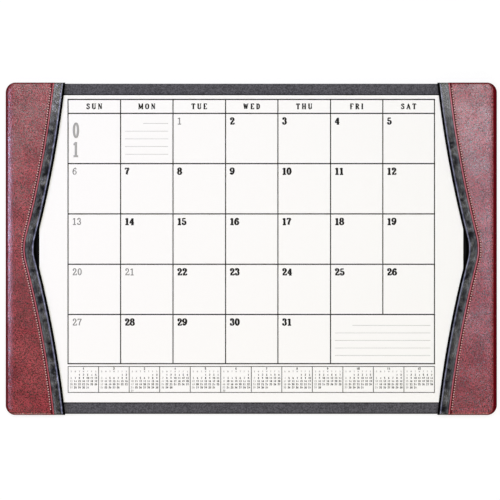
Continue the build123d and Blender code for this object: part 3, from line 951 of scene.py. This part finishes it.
# %% Letters of the weekdays: width and strokes
stem, serif_pair = "pen 19 3 19 97", "bar 5 5 33 5; bar 5 95 33 95"
letters = {
    "A": (0.78, "bar 37 97 13 5; pen 36 97 62 5; bar 20 33 54 33; bar 2 5 26 5; bar 50 5 76 5"),
    "D": (0.74, f"{stem}; round 30 50 28 45 90 -90 12; bar 5 5 32 5; bar 5 95 32 95"),
    "E": (0.70, f"{stem}; bar 19 50 45 50; bar 61 3 61 27; bar 59 97 59 74; bar 5 5 63 5; bar 5 95 61 95"),
    "F": (0.66, f"{stem}; bar 19 50 45 50; bar 59 97 59 72; bar 5 5 35 5; bar 5 95 61 95"),
    "H": (0.80, f"{stem}; pen 61 3 61 97; bar 19 50 61 50; {serif_pair}; bar 47 5 75 5; bar 47 95 75 95"),
    "I": (0.42, "pen 20 3 20 97; bar 5 5 35 5; bar 5 95 35 95"),
    "M": (0.94, "bar 16 3 16 97; pen 76 3 76 97; pen 17 97 46 12; bar 46 12 75 97; bar 4 5 28 5; "
          "bar 3 95 20 95; bar 62 5 90 5; bar 72 95 89 95"),
    "N": (0.80, "bar 16 3 16 97; bar 63 3 63 97; pen 17 97 62 5; bar 4 5 29 5; bar 3 95 20 95; "
          "bar 50 95 76 95"),
    "O": (0.76, "round 37 50 25.5 44.5 0 360 21"),
    "R": (0.76, f"{stem}; round 34 73 20 22 90 -90 10; pen 38 50 60 5; bar 5 5 33 5; bar 5 95 36 95; "
          "bar 19 51 36 51; bar 50 5 74 5"),
    "S": (0.66, "pen 53 76 44 91 31 95 18 88 14 74 21 62 33 54 46 45 52 32 49 15 36 5 21 8 12 24; "
          "bar 54 68 54 96; bar 10 4 10 32"),
    "T": (0.72, "pen 35 3 35 97; bar 7 97 7 72; bar 63 97 63 72; bar 20 5 50 5; bar 5 95 65 95"),
    "U": (0.80, "pen 19 97 19 30; round 40 31 21 26 180 360 11; bar 61 30 61 97; bar 5 95 34 95; "
          "bar 48 95 75 95"),
    "W": (0.98, "pen 14 97 31 5; bar 31 5 47 90; pen 47 90 63 5; bar 63 5 81 97; bar 2 95 28 95; "
          "bar 70 95 94 95"),
}
letters = {sign: (width, strokes(text)) for sign, (width, text) in letters.items()}
print(f"{len(letters)} letters")

# %% Small figures of the year strip
# Each is one even line. The corners of M and W are so sharp that a bent line would cross itself, so each
# of their legs is a line of its own
plain_lines = {
    "0": "12 10 50 10 50 90 12 90 12 10",
    "1": "16 72 34 92 34 5",
    "2": "10 75 22 92 44 90 50 68 10 10 54 10",
    "3": "10 90 50 90 28 58 50 34 40 10 10 12",
    "4": "42 5 42 93 8 34 56 34",
    "5": "52 90 14 90 13 56 42 56 50 30 36 10 8 13",
    "6": "48 88 20 72 12 30 30 9 50 30 32 52 14 40",
    "7": "8 90 52 90 24 5",
    "8": "30 52 12 72 30 92 48 72 30 52 10 28 30 9 50 28 30 52",
    "9": "48 60 30 48 12 70 32 91 50 70 42 30 14 12",
    "S": "50 86 22 88 12 70 22 55 40 45 50 30 40 12 10 13",
    "M": "8 5 8 92; bar 8 92 30 40; bar 30 40 52 92; bar 52 92 52 5",
    "T": "5 88 55 88 30 88 30 5",
    "W": "4 92 17 8; bar 17 8 30 60; bar 30 60 43 8; bar 43 8 56 92",
    "F": "50 88 12 88 12 52 42 50 12 48 12 5",
}
small_width = 0.62
small_signs = {sign: (small_width, strokes("bar " + text)) for sign, text in plain_lines.items()}


# %% Cutting the signs
def cut_signs(signs, wide, fine, even, ball):
    """Flat triangles of each sign for one weight of pen: the upright and level widths, the width of bars and
    the radius of the balls at stroke ends."""
    cut = {}
    for sign, (advance, parts) in signs.items():
        quads = []
        for kind, points in parts:
            if kind == "ball":
                rim = arc(points[0, 0], points[0, 1], ball, ball, 0, 360, 9)
                middle = np.repeat(points, 4, 0)
                quads.append(np.stack([middle, rim[0:8:2], rim[1:9:2], np.roll(rim[0:8:2], -1, 0)], 1))
            else:
                widths = (wide, fine) if kind == "pen" else (even, even)
                quads.append(stroke_quads(points, *widths))
        cut[sign] = (advance, *flat_union(np.concatenate(quads)))
    return cut


bold = cut_signs(figures, 0.31, 0.165, 0.185, 0.16)
light = cut_signs(figures, 0.15, 0.11, 0.12, 0.1)
heads = cut_signs(letters, 0.27, 0.15, 0.15, 0.1)
tall = cut_signs(figures, 0.25, 0.13, 0.13, 0.1)
tiny = cut_signs(small_signs, 0.2, 0.2, 0.29, 0.1)
print(f"bold figures have {sum(len(c[2]) for c in bold.values())} triangles")
print(f"tiny figures have {sum(len(c[2]) for c in tiny.values())} triangles")


# %% [markdown]
# ## One printed sheet
# A sheet has a row of weekdays, five rows of days, ruled lines in two of the empty cells, and a strip with
# the whole year below. All marks are gathered as flat triangles with their ink, then given their thickness
# together. The year carries no number, and the month is named by its own number only.


# %% Setting marks
def set_signs(text, signs, x, y, size, squeeze=1.0, gap=0.06, centred=False):
    """Flat triangles of a row of signs with their lower left corner, or the middle of the row, at x."""
    advances = [(signs[s][0] + gap) * squeeze * size for s in text]
    if centred:
        x -= (sum(advances) - gap * squeeze * size) / 2
    marks = []
    for sign, advance in zip(text, advances):
        _, points, faces = signs[sign]
        marks.append((points * [size * squeeze, size] + [x, y], faces))
        x += advance
    return marks


def rule(x0, y0, x1, y1, width):
    """Quad of a straight rule, level or upright, whose width lies around its centre line."""
    grow = width / 2
    left, right, low, high = x0 - grow, x1 + grow, y0 - grow, y1 + grow
    return np.array([[left, low], [right, low], [right, high], [left, high]])


def slips(marks, bottom, thickness):
    """Closed slips of ink: the flat triangles above and below, and a wall along every open edge."""
    counts = np.cumsum([0] + [len(points) for points, _ in marks])
    flat = np.concatenate([points for points, _ in marks])
    faces = np.concatenate([faces + start for (_, faces), start in zip(marks, counts)])
    total = len(flat)
    layers = [np.column_stack([flat, np.full(total, z)]) for z in (bottom + thickness, bottom)]
    return np.concatenate(layers), np.concatenate([faces, faces[:, ::-1] + total]), rim_faces(faces, total)


# %% The calendar's own numbers
# Places of the printed lines in millimetres from the pad's middle, and the days of a plain year whose first
# day is on the third weekday
grid_half = 241.5
grid_x = [-241.6, -172.3, -103.2, -33.9, 35.1, 104.5, 173.4, 241.5]
head_top = 196.9
grid_y = [178.5, 112.3, 46.0, -20.4, -86.6, -151.5]
strip_top, strip_foot = -155.2, -189.4
month_days = [31, 28, 31, 30, 31, 30, 31, 31, 30, 31, 30, 31]
first_weekday = 2
month_starts = [(first_weekday + sum(month_days[:k])) % 7 for k in range(12)]
day_cells = 35
weekdays = ["SUN", "MON", "TUE", "WED", "THU", "FRI", "SAT"]
figure_size, upright_line, level_line, strip_line = 9.3, 1.45, 1.6, 0.95
quiet_days = (1, 21)
print(f"months start on weekdays {month_starts}")


def day_places(month):
    """Each day of a month with its weekday's number and its week's number."""
    for day in range(1, month_days[month] + 1):
        week, place = divmod(day + month_starts[month] - 1, 7)
        yield day, place, week


# %% Year strip
title_y, title_size, initial_y, initial_size = -159.5, 3.2, -162.9, 2.3
small_x, small_pitch, small_y, week_drop, small_size = 4.1, 5.4, -167.5, 4.18, 2.7
strip_black, strip_pale, strip_rules = [], [], []
box_width = 2 * grid_half / 12
for month in range(12):
    left = -grid_half + month * box_width
    strip_black += set_signs(str(month + 1), tiny, left + box_width / 2, title_y, title_size, centred=True)
    for place, initial in enumerate("SMTWTFS"):
        middle = left + small_x + small_pitch * place
        strip_pale += set_signs(initial, tiny, middle, initial_y, initial_size, centred=True)
    for day, place, week in day_places(month):
        middle = left + small_x + small_pitch * place
        signs = set_signs(str(day), tiny, middle, small_y - week_drop * week, small_size, centred=True)
        (strip_pale if place == 0 else strip_black).extend(signs)
    strip_rules.append(rule(left, strip_foot, left, strip_top, strip_line))
strip_rules.append(rule(grid_half, strip_foot, grid_half, strip_top, strip_line))
strip_rules += [rule(-grid_half, y, grid_half, y, strip_line) for y in (strip_top, strip_foot)]
print(f"year strip has {len(strip_black) + len(strip_pale)} figures")

# %% Places of a month's marks
day_x, day_drop, sixth_week_drop = 5.6, 5.3, 46.0
head_rise, head_size, head_gap = 5.6, 7.4, 0.3
note_line, note_margin, note_count = 0.45, 6, 5
first_note_start, first_note_end, first_note_y, first_note_pitch = 30, 62.4, 165.2, 10.15
last_note_start, last_note_end, last_note_y, last_note_pitch = 29, 5.5, -101.0, 9.95
number_x, number_y, number_pitch, number_size, number_squeeze = 6.2, 146.0, 25.0, 20.3, 0.62


def note_lines(left, right, start, top, pitch):
    """Level lines to write on, of which the first begins further in."""
    lines = []
    for k in range(note_count):
        y = top - pitch * k
        lines.append(rule(left + (start if k == 0 else note_margin), y, right, y, note_line))
    return lines


def month_marks(month):
    """Marks of one month in its three inks."""
    start = month_starts[month]
    black, grey, pale = list(strip_black), [], list(strip_pale)
    rules = list(strip_rules)
    spare = day_cells - start - month_days[month]
    for k, x in enumerate(grid_x):
        foot_y = grid_y[4] if k == 6 and spare >= 2 else grid_y[5]
        rules.append(rule(x, foot_y, x, head_top, upright_line))
    for y in [head_top] + grid_y:
        rules.append(rule(-grid_half, y, grid_half, y, level_line))
    black.append(flat_union(np.stack(rules)))
    for k, word in enumerate(weekdays):
        middle = (grid_x[k] + grid_x[k + 1]) / 2
        black += set_signs(word, heads, middle, grid_y[0] + head_rise, head_size, gap=head_gap, centred=True)
    for day, place, week in day_places(month):
        quiet = place == 0 or (month == 0 and day in quiet_days)
        y = grid_y[min(week, 4)] - (sixth_week_drop if week > 4 else day_drop) - figure_size
        signs = set_signs(str(day), light if quiet else bold, grid_x[place] + day_x, y, figure_size)
        (grey if quiet else black).extend(signs)
    lines = []
    if start >= 2:
        left = grid_x[1]
        lines += note_lines(left, left + first_note_end, first_note_start, first_note_y, first_note_pitch)
    if spare >= 2:
        right = grid_half - last_note_end
        lines += note_lines(grid_x[5], right, last_note_start, last_note_y, last_note_pitch)
    if lines:
        pale.append(flat_union(np.stack(lines)))
    if start >= 1:
        for k, figure in enumerate(f"{month + 1:02d}"):
            y = number_y - number_pitch * k
            pale += set_signs(figure, tall, -grid_half + number_x, y, number_size, squeeze=number_squeeze)
    return black, grey, pale


# %% Month prints
ink_thickness, ink_sink = 0.014, 0.004
for month, name in enumerate(sheet_names):
    sheet_top = box_mm(name)[1][2]
    points, triangles, walls, triangle_inks, wall_inks = [], [], [], [], []
    total = 0
    for ink_number, marks in enumerate(month_marks(month)):
        if marks:
            flat, faces, rim = slips(marks, sheet_top - ink_sink, ink_thickness + ink_sink)
            points.append(flat)
            triangles.append(faces + total)
            walls.append(rim + total)
            triangle_inks.append(np.full(len(faces), ink_number))
            wall_inks.append(np.full(len(rim), ink_number))
            total += len(flat)
    blocks = [np.concatenate(triangles), np.concatenate(walls)]
    picks = np.concatenate(triangle_inks + wall_inks)
    make_piece(f"{name}_print", np.concatenate(points), blocks, inks, name, picks, smooth=False)
